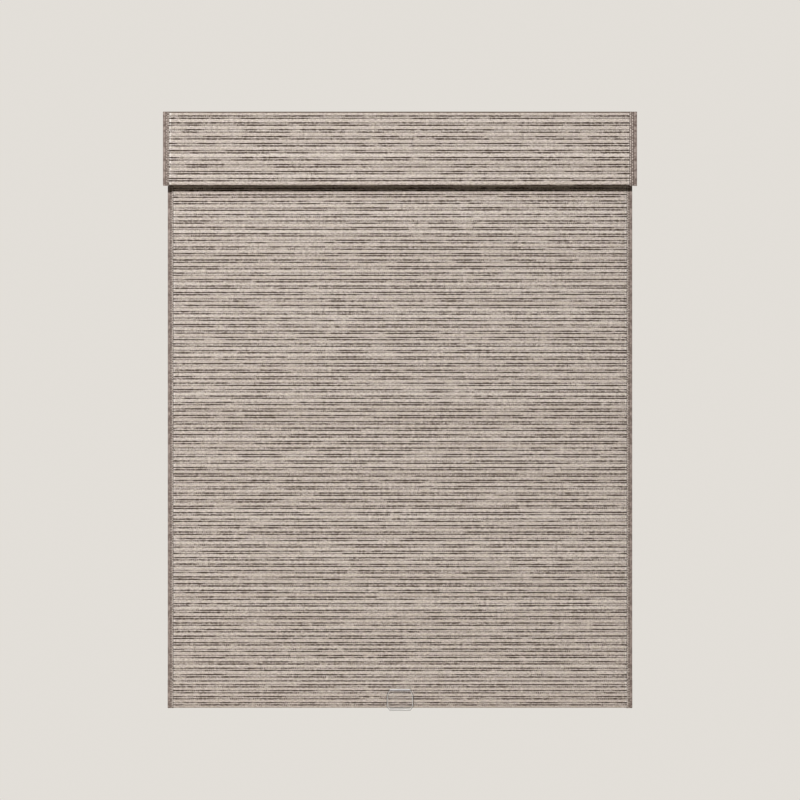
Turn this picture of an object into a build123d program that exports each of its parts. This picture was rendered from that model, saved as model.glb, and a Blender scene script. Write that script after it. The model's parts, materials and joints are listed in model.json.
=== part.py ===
from build123d import *
from bisect import bisect
from math import ceil, cos, floor, pi, radians, sin, sqrt
import os

# Cordless woven wood shade, spring roller inside, the mat falling in front of the roller.
# Millimetres. +X to the right seen from the room, the room side is -Y, +Z up.
# The origin is the centre of the clips' screw holes, on the clips' top face.

os.makedirs("parts", exist_ok=True)

# Sizes of the whole shade
valance_width = 914.0
valance_height = 143.0
hem_height = 54.0
drop = 1153.0
top_gap = 1.0

# How far the ends stand in: rail from valance, plugs from end plates, strips from rail
rail_inset = 3.5
end_float = 2.0
strip_inset = 13.5

# The woven mat: reeds and slats in turn, with a groove of bare thread on each side
row_pitch = 12.95
hem_row_pitch = 11.6
reed_spacing = 4.4
groove_width = 1.5
thread_web = 0.7
reed_thickness = 1.5
slat_thickness = 1.8
slit_height = 0.5
slit_margin = 14.0
slit_every = 2
first_valance_row = 8.0
first_fall_row = 1.2
first_hem_row = 8.9
bend_step = 10.0

# The tape bound over the mat's side edges
tape_thickness = 0.5
tape_face = 11.0
valance_tape_left = 12.0
valance_tape_right = 15.0
corner_left = 1.5
corner_right = 5.0

# Gaps between pieces
seat_gap = 0.05
running_gap = 0.06
loose_gap = 0.3

# Headrail
rail_wall = 1.8
rail_top_depth = 6.0
skirt_height = 30.0
back_skirt_height = 16.0
skirt_lip = 4.0
track_opening = 20.0
track_lip = 5.3
port_offset = 24.0
port_wall = 2.0

# Clips that screw to the window head
clip_spacing = 680.0
clip_width = 30.0
clip_sheet = 1.2
clip_depth = 34.0
clip_hole = 2.2
clip_hole_spacing = 10.0
clip_hook = 2.8

# Roller
tube_radius = 19.0
tube_wall = 1.5
spline_groove = 4.0
spline_depth = 2.5
spline_angle = -110.0
wrap_angle = 300.0
flange_thickness = 2.0
plug_length = 30.0
plug_hub = 7.5
plug_ribs = 5
rib_thickness = 2.0
full_roll_radius = 33.0
full_roll_gap = 4.0

# Spring side
arbor_radius = 4.0
arbor_length = 205.0
arbor_flat = 3.0
arbor_collar = 6.0
collar_thickness = 1.0
anchor_radius = 7.0
anchor_length = 12.0
spring_wire = 1.6
spring_turns = 10
spring_sides = 8

# Idler side
pin_radius = 3.0
pin_shoulder = 4.7
chamber_radius = 5.0
chamber_length = 26.0
pin_spring_wire = 0.8
pin_spring_turns = 6
pin_spring_sides = 8
seat_disc = 2.0

# End plates and their screws
plate_sheet = 2.0
plate_height = 80.0
plate_corner = 12.0
screw_radius = 1.45
screw_length = 10.0
screw_head = 5.5
screw_head_height = 1.3

# Valance
strip_thickness = 1.2
strip_height = 25.0
board_thickness = 3.0
mat_return = 25.0

# Hem bar and pull tab
bar_thickness = 5.0
bar_wall = 1.0
bar_slot = 2.4
bar_slot_depth = 14.0
cap_thickness = 2.0
cap_plug = 8.0
tab_width = 52.0
tab_height = 42.0
tab_narrow = 40.0
tab_sheet = 2.0
tab_shoulder = 12.0
tab_foot = 8.0
tab_drop = 4.7
tab_back = 18.0
ledge_height = 6.0
ledge_reach = 2.6

# Worked out from the sizes above: the whole mat rolls up between the headrail's skirts
rail_length = valance_width - 2 * rail_inset
strip_length = rail_length - 2 * strip_inset
mat_width = rail_length - 2 * (flange_thickness + end_float)
rail_half = full_roll_radius + full_roll_gap + rail_wall
rail_top = -clip_sheet
plate_floor = rail_top - rail_top_depth
roller_z = plate_floor - rail_wall - full_roll_radius - full_roll_gap
port_z = plate_floor - rail_wall - screw_radius
mat_half = slat_thickness / 2
bound_half = mat_half + seat_gap + tape_thickness
fall_radius = tube_radius + loose_gap + bound_half
mat_edge = mat_width / 2
shade_top = -top_gap
shade_bottom = -drop
hem_top = shade_bottom + hem_height
rail_end = rail_length / 2
plate_outer = rail_end + plate_sheet

hook_face = -rail_half - strip_thickness
board_back = hook_face - strip_thickness
board_front = board_back - board_thickness
valance_bend = board_thickness / 2 + seat_gap + mat_half
board_middle = (board_back + board_front) / 2
valance_bottom = shade_top - valance_height
valance_bend_z = valance_bottom + valance_bend + mat_half
valance_edge = valance_width / 2
valance_mat_top = shade_top - tape_thickness - seat_gap

hem_bend = bar_thickness / 2 + seat_gap + mat_half
hem_bend_z = shade_bottom + hem_bend + mat_half
bar_top = hem_top - loose_gap


def row_corners(pitch):
    """One row of the mat: distance along the mat and half thickness, of a reed and then a slat."""
    web, reed, slat = thread_web / 2, reed_thickness / 2, slat_thickness / 2
    edge = groove_width / 2
    return [
        (0, web),
        (edge, reed),
        (reed_spacing - edge, reed),
        (reed_spacing, web),
        (reed_spacing + edge, slat),
        (pitch - edge, slat),
    ]


def mat_outline(route, start, end, first_row, pitch, bends):
    """The mat's section along a route, as corners in Y and Z: up one face and back down the other.
    route gives a point of the mat's middle and the normal there, bends the stretches that curve."""
    first = floor((start - first_row) / pitch) - 1
    last = ceil((end - first_row) / pitch) + 1
    corners = [
        (first_row + row * pitch + along, half)
        for row in range(first, last)
        for along, half in row_corners(pitch)
    ]
    places = [along for along, half in corners]

    def half_at(along):
        after = bisect(places, along)
        (a, half_a), (b, half_b) = corners[after - 1], corners[after]
        return half_a + (half_b - half_a) * (along - a) / (b - a)

    stations = {along for along in places if start < along < end} | {start, end}
    for bend_start, bend_end, radius in bends:
        steps = ceil((bend_end - bend_start) / (radius * radians(bend_step)))
        for step in range(steps + 1):
            along = bend_start + (bend_end - bend_start) * step / steps
            near = min(abs(along - other) for other in stations)
            if start < along < end and near > groove_width / 4:
                stations.add(along)
    faces = []
    for side in (1, -1):
        face = []
        for along in sorted(stations):
            (y, z), (normal_y, normal_z) = route(along)
            reach = side * half_at(along)
            face.append((y + normal_y * reach, z + normal_z * reach))
        faces.append(face)
    return faces[0] + faces[1][::-1]


def fall_route(along):
    """The hanging mat: straight down from the roller's front, and round the tube before that."""
    if along >= 0:
        return (-fall_radius, roller_z - along), (-1, 0)
    turn = pi + along / fall_radius
    normal = (cos(turn), sin(turn))
    return (fall_radius * normal[0], roller_z + fall_radius * normal[1]), normal


def fold_route(middle_y, bend_radius, bend_z, run):
    """A mat that goes down a front face, round under it and up the back."""
    bend = pi * bend_radius

    def route(along):
        if along < run:
            return (middle_y - bend_radius, bend_z + run - along), (-1, 0)
        if along < run + bend:
            turn = (along - run) / bend_radius
            normal = (-cos(turn), -sin(turn))
            return (middle_y + bend_radius * normal[0], bend_z + bend_radius * normal[1]), normal
        return (middle_y + bend_radius, bend_z + along - run - bend), (1, 0)

    return route


def fall_band(start_x, near, far, bottom):
    """A strip beside the hanging mat, from near to far outside its middle, down to bottom."""
    inner, outer = fall_radius + near, fall_radius + far
    with BuildSketch(Plane.YZ.offset(start_x)) as band:
        with BuildLine():
            inside = CenterArc((0, roller_z), inner, 180 - wrap_angle, wrap_angle)
            outside = CenterArc((0, roller_z), outer, 180 - wrap_angle, wrap_angle)
            Line(inside @ 0, outside @ 0)
            Polyline(inside @ 1, (-inner, bottom), (-outer, bottom), outside @ 1)
        make_face()
    return band.sketch


def fold_band(start_x, inner, outer):
    """A strip that follows the hem's fold, from radius inner to radius outer about its bend."""
    steps = round(180 / bend_step)
    corners = []
    for radius in (inner, outer):
        bend = [
            (-fall_radius - radius * cos(pi * step / steps), hem_bend_z - radius * sin(pi * step / steps))
            for step in range(steps + 1)
        ]
        corners.append([(-fall_radius - radius, hem_top), *bend, (-fall_radius + radius, hem_top)])
    with BuildSketch(Plane.YZ.offset(start_x)) as band:
        with BuildLine():
            Polyline(*corners[0], *corners[1][::-1], close=True)
        make_face()
    return band.sketch


def valance_outline(inset, start_y):
    """The valance seen from the front, drawn in by inset all round, with its softened corners."""
    half, left, right = valance_edge - inset, max(corner_left - inset, 0.3), corner_right - inset
    with BuildSketch(Plane.XZ.offset(-start_y)) as outline:
        with Locations((0, (shade_top + valance_bottom) / 2)):
            Rectangle(2 * half, valance_height - 2 * inset)
        corners = outline.vertices().group_by(Axis.X)
        fillet(corners[0], left)
        fillet(corners[-1], right)
    return outline.sketch


def coil(name, radius, wire, turns, sides, start_x, length):
    """A spring of square wire about the roller's axis, each turn drawn with flat sides."""
    points = [
        (
            start_x + length * step / (turns * sides),
            radius * cos(2 * pi * step / sides),
            roller_z + radius * sin(2 * pi * step / sides),
        )
        for step in range(turns * sides + 1)
    ]
    with BuildPart() as spring:
        with BuildLine() as centre:
            Polyline(*points)
        start = Plane(origin=centre.line @ 0, x_dir=(0, 1, 0), z_dir=centre.line % 0)
        with BuildSketch(start):
            Rectangle(wire, wire)
        sweep(path=centre.line, transition=Transition.RIGHT)
    finish(spring, name)


def finish(piece, name):
    """Label a piece and write it."""
    piece.part.label = name
    export_step(piece.part, f"parts/{name}.step")


sides = {"left": -1, "right": 1}

# Mounting clips: folded spring steel, hooked under the lips of the headrail's track
for name, side in sides.items():
    with BuildPart() as clip:
        centre = side * clip_spacing / 2
        leg = track_opening / 2 - loose_gap
        with BuildSketch(Plane.YZ.offset(centre - clip_width / 2)):
            with Locations((0, -clip_sheet / 2)):
                Rectangle(clip_depth, clip_sheet)
            for face in (-1, 1):
                with Locations((face * (leg - clip_sheet / 2), (rail_top - rail_wall) / 2 - clip_sheet / 2)):
                    Rectangle(clip_sheet, rail_wall + 2 * clip_sheet)
                with Locations((face * (leg + clip_hook / 2), rail_top - rail_wall - clip_sheet / 2)):
                    Rectangle(clip_hook + clip_sheet, clip_sheet)
        extrude(amount=clip_width)
        with BuildSketch(Plane.XY) as holes:
            with Locations((centre, 0)):
                with GridLocations(0, clip_hole_spacing, 1, 2):
                    Circle(clip_hole)
        extrude(amount=-clip_sheet, mode=Mode.SUBTRACT)
        top_corners = clip.edges().filter_by(Axis.Z).group_by(Axis.Z)[-1]
        chamfer(top_corners.filter_by(lambda edge: abs(edge.center().Y) > leg), 2 * clip_sheet)
    finish(clip, f"mounting_clip_{name}")

# Headrail: one aluminium extrusion with a track on top and a skirt front and back
with BuildPart() as headrail:
    with BuildSketch(Plane.YZ.offset(-rail_end)):
        with Locations((0, plate_floor - rail_wall / 2)):
            Rectangle(2 * rail_half, rail_wall)
        with Locations((-rail_half + rail_wall / 2, rail_top - skirt_height / 2)):
            Rectangle(rail_wall, skirt_height)
        with Locations((-rail_half + skirt_lip / 2, rail_top - skirt_height - rail_wall / 2)):
            Rectangle(skirt_lip, rail_wall)
        with Locations((rail_half - rail_wall / 2, rail_top - back_skirt_height / 2)):
            Rectangle(rail_wall, back_skirt_height)
        for face in (-1, 1):
            rib = track_opening / 2 + track_lip - rail_wall / 2
            with Locations((face * rib, rail_top - rail_top_depth / 2)):
                Rectangle(rail_wall, rail_top_depth)
            with Locations((face * (track_opening + track_lip) / 2, rail_top - rail_wall / 2)):
                Rectangle(track_lip, rail_wall)
            with Locations((face * port_offset, port_z)):
                Rectangle(2 * (screw_radius + port_wall), 2 * (screw_radius + port_wall))
                Circle(screw_radius + seat_gap, mode=Mode.SUBTRACT)
    extrude(amount=rail_length)
finish(headrail, "headrail")

# End plates: stamped steel, screwed to the headrail's ends, carrying the roller
for name, side in sides.items():
    with BuildPart() as end_plate:
        inner_face = side * rail_end
        with BuildSketch(Plane.YZ.offset(inner_face)):
            with Locations((0, rail_top - plate_height / 2)):
                Rectangle(2 * rail_half, plate_height)
            with Locations((-port_offset, port_z), (port_offset, port_z)):
                Circle(screw_radius + seat_gap, mode=Mode.SUBTRACT)
            with Locations((0, roller_z)):
                if side < 0:
                    Rectangle(
                        arbor_flat + 2 * seat_gap, 2 * arbor_radius + 2 * seat_gap, mode=Mode.SUBTRACT
                    )
                else:
                    Circle(pin_radius + running_gap, mode=Mode.SUBTRACT)
        extrude(amount=side * plate_sheet)
        lower_corners = end_plate.edges().filter_by(Axis.X).group_by(Axis.Z)[0]
        chamfer(lower_corners, plate_corner)
    finish(end_plate, f"end_plate_{name}")

    with BuildPart() as screws:
        head_face = side * plate_outer
        for face in (-1, 1):
            seat = (face * port_offset, port_z)
            with BuildSketch(Plane.YZ.offset(head_face)):
                with Locations(seat):
                    Circle(screw_radius)
            extrude(amount=-side * screw_length)
            with BuildSketch(Plane.YZ.offset(head_face)):
                with Locations(seat):
                    RegularPolygon(screw_head / 2, 6, major_radius=False)
            extrude(amount=side * screw_head_height)
    finish(screws, f"end_plate_screws_{name}")

# Valance board and the two strips that hold it to the headrail's front skirt
strip_top = rail_top - (skirt_height - strip_height) / 2
with BuildPart() as valance_board:
    with BuildSketch(Plane.XZ.offset(-board_front)):
        with Locations((0, (valance_mat_top + valance_bend_z) / 2)):
            Rectangle(
                valance_width - 2 * (tape_thickness + 2 * seat_gap), valance_mat_top - valance_bend_z
            )
    extrude(amount=-board_thickness)
    upright = valance_board.edges().filter_by(Axis.Y).group_by(Axis.Z)[-1]
    fillet(upright.sort_by(Axis.X)[-1], corner_right - tape_thickness)
    upright = valance_board.edges().filter_by(Axis.Y).group_by(Axis.Z)[-1]
    fillet(upright.sort_by(Axis.X)[0], corner_left - tape_thickness)
finish(valance_board, "valance_board")

for name, back in (("loop_strip", board_back), ("hook_strip", hook_face)):
    with BuildPart() as strip:
        with BuildSketch(Plane.XZ.offset(-back)):
            with Locations((0, strip_top - strip_height / 2)):
                Rectangle(strip_length, strip_height)
        extrude(amount=-strip_thickness)
    finish(strip, name)

# Valance mat: down the board's front, round under it and up behind
valance_run = valance_mat_top - valance_bend_z
valance_turn = pi * valance_bend
with BuildPart() as valance_weave:
    with BuildSketch(Plane.YZ.offset(-valance_edge + tape_thickness + seat_gap)):
        with BuildLine():
            Polyline(
                *mat_outline(
                    fold_route(board_middle, valance_bend, valance_bend_z, valance_run),
                    0,
                    valance_run + valance_turn + mat_return,
                    first_valance_row,
                    row_pitch,
                    [(valance_run, valance_run + valance_turn, valance_bend)],
                ),
                close=True,
            )
        make_face()
    extrude(amount=valance_width - 2 * (tape_thickness + seat_gap))
    front_of_mat = board_middle - valance_bend - 2 * mat_half
    back_of_mat = board_middle + valance_bend + 2 * mat_half
    extrude(
        valance_outline(tape_thickness + seat_gap, front_of_mat),
        amount=front_of_mat - back_of_mat,
        mode=Mode.INTERSECT,
    )
finish(valance_weave, "valance_weave")

# Valance bindings: a front face, an edge and a back face of folded tape
tape_front = board_front - 2 * seat_gap - 2 * mat_half
for name, side in sides.items():
    face = valance_tape_left if side < 0 else valance_tape_right
    corner = corner_left if side < 0 else corner_right
    with BuildPart() as binding:
        extrude(valance_outline(0, tape_front - tape_thickness), amount=-tape_thickness)
        extrude(valance_outline(0, tape_front), amount=tape_front - board_back)
        extrude(
            valance_outline(tape_thickness, tape_front), amount=tape_front - board_back, mode=Mode.SUBTRACT
        )
        with BuildSketch(Plane.XZ.offset(-board_back)):
            back_bottom = valance_bend_z + mat_return + loose_gap
            with Locations((side * (valance_edge - face / 2), (shade_top + back_bottom) / 2)):
                Rectangle(face, shade_top - back_bottom)
        extrude(amount=-tape_thickness)
        with BuildSketch(Plane.XZ.offset(-tape_front + tape_thickness)):
            with Locations((side * (valance_edge - face / 2), (shade_top + valance_bottom) / 2)):
                Rectangle(face, valance_height)
        extrude(amount=tape_front - tape_thickness - board_back - tape_thickness, mode=Mode.INTERSECT)
        with BuildSketch(Plane.XZ.offset(-tape_front)):
            with Locations((side * (valance_edge - (face + corner) / 2), (shade_top + valance_bottom) / 2)):
                Rectangle(face - corner, valance_height)
        extrude(amount=tape_front - board_back, mode=Mode.SUBTRACT)
    finish(binding, f"valance_binding_{name}")

# Roller tube: an aluminium extrusion with one groove that the mat is keyed in
with BuildPart() as roller_tube:
    with BuildSketch(Plane.YZ.offset(-mat_edge)):
        with Locations((0, roller_z)):
            Circle(tube_radius)
            Circle(tube_radius - tube_wall, mode=Mode.SUBTRACT)
            boss_depth = spline_depth + tube_wall - tube_wall / 2
            with PolarLocations(tube_radius - tube_wall / 2 - boss_depth / 2, 1, spline_angle):
                Rectangle(boss_depth, spline_groove + 2 * tube_wall)
            with PolarLocations(tube_radius - spline_depth / 2 + tube_wall / 2, 1, spline_angle):
                Rectangle(spline_depth + tube_wall, spline_groove, mode=Mode.SUBTRACT)
    extrude(amount=mat_width)
finish(roller_tube, "roller_tube")

with BuildPart() as fabric_spline:
    with BuildSketch(Plane.YZ.offset(-mat_edge)):
        with Locations((0, roller_z)):
            with PolarLocations(tube_radius - spline_depth / 2 - seat_gap, 1, spline_angle):
                Rectangle(spline_depth - 2 * seat_gap, spline_groove - 2 * seat_gap)
    extrude(amount=mat_width)
finish(fabric_spline, "fabric_spline")

# Ribbed plugs in the tube's ends, keyed on the tube's inner boss: the left one takes the spring's
# pull, the right one holds the pin
boss_inner = tube_radius - tube_wall / 2 - boss_depth
key_width = spline_groove + 2 * tube_wall + 2 * seat_gap
plug_radius = tube_radius - tube_wall - seat_gap
rib_reach = sqrt(plug_radius**2 - (rib_thickness / 2) ** 2)
for name, side in (("spring_plug", -1), ("idler_plug", 1)):
    with BuildPart() as plug:
        with BuildSketch(Plane.YZ.offset(side * mat_edge)):
            with Locations((0, roller_z)):
                Circle(tube_radius)
        extrude(amount=side * flange_thickness)
        with BuildSketch(Plane.YZ.offset(side * mat_edge)):
            with Locations((0, roller_z)):
                RegularPolygon(plug_hub, 6)
                with PolarLocations(rib_reach / 2, plug_ribs, spline_angle + 180 / plug_ribs):
                    Rectangle(rib_reach, rib_thickness)
                for face in (-1, 1):
                    rib = face * (key_width + rib_thickness) / 2
                    reach = sqrt(plug_radius**2 - (key_width / 2 + rib_thickness) ** 2)
                    with PolarLocations(0, 1, spline_angle):
                        with Locations((reach / 2, rib)):
                            Rectangle(reach, rib_thickness)
        extrude(amount=-side * plug_length)
        if side < 0:
            with BuildSketch(Plane.YZ.offset(-mat_edge + plug_length)):
                with Locations((0, roller_z)):
                    Circle(anchor_radius)
            extrude(amount=anchor_length)
            with BuildSketch(Plane.YZ.offset(-mat_edge - flange_thickness)):
                with Locations((0, roller_z)):
                    Circle(arbor_radius + running_gap)
            extrude(amount=flange_thickness + plug_length + anchor_length, mode=Mode.SUBTRACT)
        else:
            with BuildSketch(Plane.YZ.offset(mat_edge + flange_thickness)):
                with Locations((0, roller_z)):
                    Circle(pin_radius + running_gap)
            extrude(amount=-flange_thickness - plug_length, mode=Mode.SUBTRACT)
            with BuildSketch(Plane.YZ.offset(mat_edge - plug_length)):
                with Locations((0, roller_z)):
                    RegularPolygon(chamber_radius, 8, major_radius=False)
            extrude(amount=chamber_length, mode=Mode.SUBTRACT)
    finish(plug, name)

# Spring arbor: its flat tongue is held in the left end plate, and the spring's far end on its anchor
arbor_end = -rail_end + arbor_length
with BuildPart() as spring_arbor:
    with BuildSketch(Plane.YZ.offset(-plate_outer)):
        with Locations((0, roller_z)):
            Rectangle(arbor_flat, 2 * arbor_radius)
    extrude(amount=plate_sheet)
    with BuildSketch(Plane.YZ.offset(-rail_end)):
        with Locations((0, roller_z)):
            Circle(arbor_radius)
    extrude(amount=arbor_length)
    with BuildSketch(Plane.YZ.offset(-rail_end)):
        with Locations((0, roller_z)):
            Circle(arbor_collar)
    extrude(amount=collar_thickness)
    with BuildSketch(Plane.YZ.offset(arbor_end)):
        with Locations((0, roller_z)):
            Circle(anchor_radius)
    extrude(amount=-anchor_length)
finish(spring_arbor, "spring_arbor")

spring_start = -mat_edge + plug_length + spring_wire
spring_radius = (anchor_radius + seat_gap + spring_wire / sqrt(2)) / cos(pi / spring_sides)
coil(
    "torsion_spring",
    spring_radius,
    spring_wire,
    spring_turns,
    spring_sides,
    spring_start,
    arbor_end - spring_wire - spring_start,
)

# Idler pin: pushed out into the right end plate, and pressed in to lift the roller out
shoulder_face = mat_edge - plug_length + chamber_length - seat_gap
shoulder_length = 2.0
with BuildPart() as idler_pin:
    with BuildSketch(Plane.YZ.offset(shoulder_face - shoulder_length)):
        with Locations((0, roller_z)):
            Circle(pin_radius)
    extrude(amount=plate_outer - shoulder_face + shoulder_length)
    with BuildSketch(Plane.YZ.offset(shoulder_face)):
        with Locations((0, roller_z)):
            Circle(pin_shoulder)
    extrude(amount=-shoulder_length)
finish(idler_pin, "idler_pin")

disc_face = mat_edge - plug_length + seat_disc
with BuildPart() as spring_seat:
    with BuildSketch(Plane.YZ.offset(disc_face)):
        with Locations((0, roller_z)):
            RegularPolygon(chamber_radius - seat_gap, 8, major_radius=False)
    extrude(amount=-seat_disc)
finish(spring_seat, "pin_spring_seat")

pin_spring_start = disc_face + pin_spring_wire
pin_spring_end = shoulder_face - shoulder_length - pin_spring_wire
coil(
    "pin_spring",
    pin_radius + pin_spring_wire / 2,
    pin_spring_wire,
    pin_spring_turns,
    pin_spring_sides,
    pin_spring_start,
    pin_spring_end - pin_spring_start,
)

# Hanging mat: keyed in the tube's groove, most of a turn round it, then down into the hem bar
tail = roller_z - bar_top + bar_slot_depth - loose_gap
wrap = fall_radius * radians(wrap_angle)
with BuildPart() as woven_panel:
    with BuildSketch(Plane.YZ.offset(-mat_edge + tape_thickness + seat_gap)):
        with BuildLine():
            Polyline(
                *mat_outline(fall_route, -wrap, tail, first_fall_row, row_pitch, [(-wrap, 0, fall_radius)]),
                close=True,
            )
        make_face()
    extrude(amount=mat_width - 2 * (tape_thickness + seat_gap))
    slits = range(1, floor((roller_z - hem_top - first_fall_row) / row_pitch), slit_every)
    with BuildSketch(Plane.XZ.offset(fall_radius)):
        with Locations(
            [(0, roller_z - first_fall_row - row * row_pitch - reed_spacing) for row in slits]
        ):
            Rectangle(mat_width - 2 * slit_margin, slit_height)
    extrude(amount=slat_thickness, both=True, mode=Mode.SUBTRACT)
finish(woven_panel, "woven_panel")

# Bindings of the hanging mat: a face in front, a face behind and the folded edge
binding_bottom = hem_top + loose_gap
for name, side in sides.items():
    with BuildPart() as binding:
        inner_x = side * (mat_edge - tape_face)
        near, far = mat_half + seat_gap, bound_half
        extrude(fall_band(inner_x, near, far, binding_bottom), amount=side * tape_face)
        extrude(fall_band(inner_x, -far, -near, binding_bottom), amount=side * tape_face)
        edge_x = side * (mat_edge - tape_thickness)
        extrude(fall_band(edge_x, -far, far, binding_bottom), amount=side * tape_thickness)
    finish(binding, f"panel_binding_{name}")

# Hem bar: a flat hollow extrusion, slotted along its top for the mat's end
bar_half = mat_edge - cap_thickness - tape_thickness
void_top = bar_top - bar_slot_depth - bar_wall
void_bottom = hem_bend_z + bar_wall
with BuildPart() as hem_bar:
    with BuildSketch(Plane.YZ.offset(-bar_half)):
        with Locations((-fall_radius, (bar_top + hem_bend_z) / 2)):
            Rectangle(bar_thickness, bar_top - hem_bend_z)
        with Locations((-fall_radius, bar_top - bar_slot_depth / 2)):
            Rectangle(bar_slot, bar_slot_depth, mode=Mode.SUBTRACT)
        with Locations((-fall_radius, (void_top + void_bottom) / 2)):
            Rectangle(bar_thickness - 2 * bar_wall, void_top - void_bottom, mode=Mode.SUBTRACT)
    extrude(amount=2 * bar_half)
finish(hem_bar, "hem_bar")

for name, side in sides.items():
    with BuildPart() as cap:
        with BuildSketch(Plane.YZ.offset(side * bar_half)):
            with Locations((-fall_radius, (bar_top + hem_bend_z) / 2)):
                Rectangle(bar_thickness, bar_top - hem_bend_z)
            with Locations((-fall_radius, bar_top - bar_slot_depth / 2)):
                Rectangle(bar_slot, bar_slot_depth, mode=Mode.SUBTRACT)
        extrude(amount=side * cap_thickness)
        with BuildSketch(Plane.YZ.offset(side * bar_half)):
            with Locations((-fall_radius, (void_top + void_bottom) / 2)):
                Rectangle(
                    bar_thickness - 2 * bar_wall - 2 * seat_gap, void_top - void_bottom - 2 * seat_gap
                )
        extrude(amount=-side * cap_plug)
    finish(cap, f"hem_end_cap_{name}")

# Hem mat: a strip of the same weave folded round the bar
hem_run = hem_top - hem_bend_z
hem_turn = pi * hem_bend
with BuildPart() as hem_weave:
    with BuildSketch(Plane.YZ.offset(-mat_edge + tape_thickness + seat_gap)):
        with BuildLine():
            Polyline(
                *mat_outline(
                    fold_route(-fall_radius, hem_bend, hem_bend_z, hem_run),
                    0,
                    2 * hem_run + hem_turn,
                    first_hem_row,
                    hem_row_pitch,
                    [(hem_run, hem_run + hem_turn, hem_bend)],
                ),
                close=True,
            )
        make_face()
    extrude(amount=mat_width - 2 * (tape_thickness + seat_gap))
finish(hem_weave, "hem_weave")

for name, side in sides.items():
    with BuildPart() as binding:
        inner_x = side * (mat_edge - tape_face)
        edge_x = side * (mat_edge - tape_thickness)
        near, far = hem_bend + mat_half + seat_gap, hem_bend + bound_half
        extrude(fold_band(inner_x, near, far), amount=side * tape_face)
        extrude(fold_band(edge_x, hem_bend - mat_half, far), amount=side * tape_thickness)
    finish(binding, f"hem_binding_{name}")

# Pull tab: a clear plate with cut corners, a finger ledge along its top and a hook under the hem
hem_reach = hem_bend + mat_half
tab_back_face = -fall_radius - hem_reach - loose_gap
tab_front_face = tab_back_face - tab_sheet
tab_floor = shade_bottom - loose_gap
tab_bottom = tab_floor - tab_drop
tab_top = tab_bottom + tab_height
with BuildPart() as pull_tab:
    with BuildSketch(Plane.XZ.offset(-tab_back_face)):
        with BuildLine():
            Polyline(
                (-tab_narrow / 2, tab_top),
                (tab_narrow / 2, tab_top),
                (tab_width / 2, tab_top - tab_shoulder),
                (tab_width / 2, tab_bottom + tab_foot),
                (tab_narrow / 2, tab_bottom),
                (-tab_narrow / 2, tab_bottom),
                (-tab_width / 2, tab_bottom + tab_foot),
                (-tab_width / 2, tab_top - tab_shoulder),
                close=True,
            )
        make_face()
    extrude(amount=tab_sheet)
    with BuildSketch(Plane.YZ.offset(-tab_narrow / 2)):
        with Locations((-fall_radius + tab_sheet / 2, tab_floor - tab_sheet / 2)):
            Rectangle(2 * (hem_reach + loose_gap) + tab_sheet, tab_sheet)
        back_y = -fall_radius + hem_reach + loose_gap + tab_sheet / 2
        with Locations((back_y, tab_floor - tab_sheet + tab_back / 2)):
            Rectangle(tab_sheet, tab_back)
        with BuildLine():
            Polyline(
                (tab_front_face, tab_top),
                (tab_front_face - ledge_reach, tab_top - ledge_height / 4),
                (tab_front_face - ledge_reach, tab_top - ledge_height / 2),
                (tab_front_face, tab_top - ledge_height),
                close=True,
            )
        make_face()
    extrude(amount=tab_narrow)
finish(pull_tab, "pull_tab")
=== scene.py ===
import json
import math

import bmesh
import bpy
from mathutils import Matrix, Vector


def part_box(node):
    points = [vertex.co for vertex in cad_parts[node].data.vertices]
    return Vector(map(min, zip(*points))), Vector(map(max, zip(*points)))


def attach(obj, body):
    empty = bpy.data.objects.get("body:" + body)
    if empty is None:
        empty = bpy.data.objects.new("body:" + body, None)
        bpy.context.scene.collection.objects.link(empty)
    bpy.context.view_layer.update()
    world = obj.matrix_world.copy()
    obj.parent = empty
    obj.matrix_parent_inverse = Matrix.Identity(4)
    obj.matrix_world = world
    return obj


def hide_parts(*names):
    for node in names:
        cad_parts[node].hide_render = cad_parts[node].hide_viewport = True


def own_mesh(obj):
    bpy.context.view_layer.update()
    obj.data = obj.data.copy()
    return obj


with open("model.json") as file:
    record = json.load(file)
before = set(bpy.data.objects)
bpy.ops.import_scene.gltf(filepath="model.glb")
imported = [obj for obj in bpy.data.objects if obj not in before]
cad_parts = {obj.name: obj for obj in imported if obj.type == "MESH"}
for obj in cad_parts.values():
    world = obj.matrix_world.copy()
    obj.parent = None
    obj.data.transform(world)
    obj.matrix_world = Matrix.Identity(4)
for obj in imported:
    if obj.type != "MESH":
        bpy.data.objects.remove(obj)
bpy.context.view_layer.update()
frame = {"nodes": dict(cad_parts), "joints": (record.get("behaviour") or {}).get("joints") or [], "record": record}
scene = bpy.context.scene
nodes = frame["nodes"]
mm = 0.001
print("frame loaded:", len(nodes), "nodes")

# Woven wood shade. X to the right, the room side is -Y, Z up, in metres.

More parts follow.
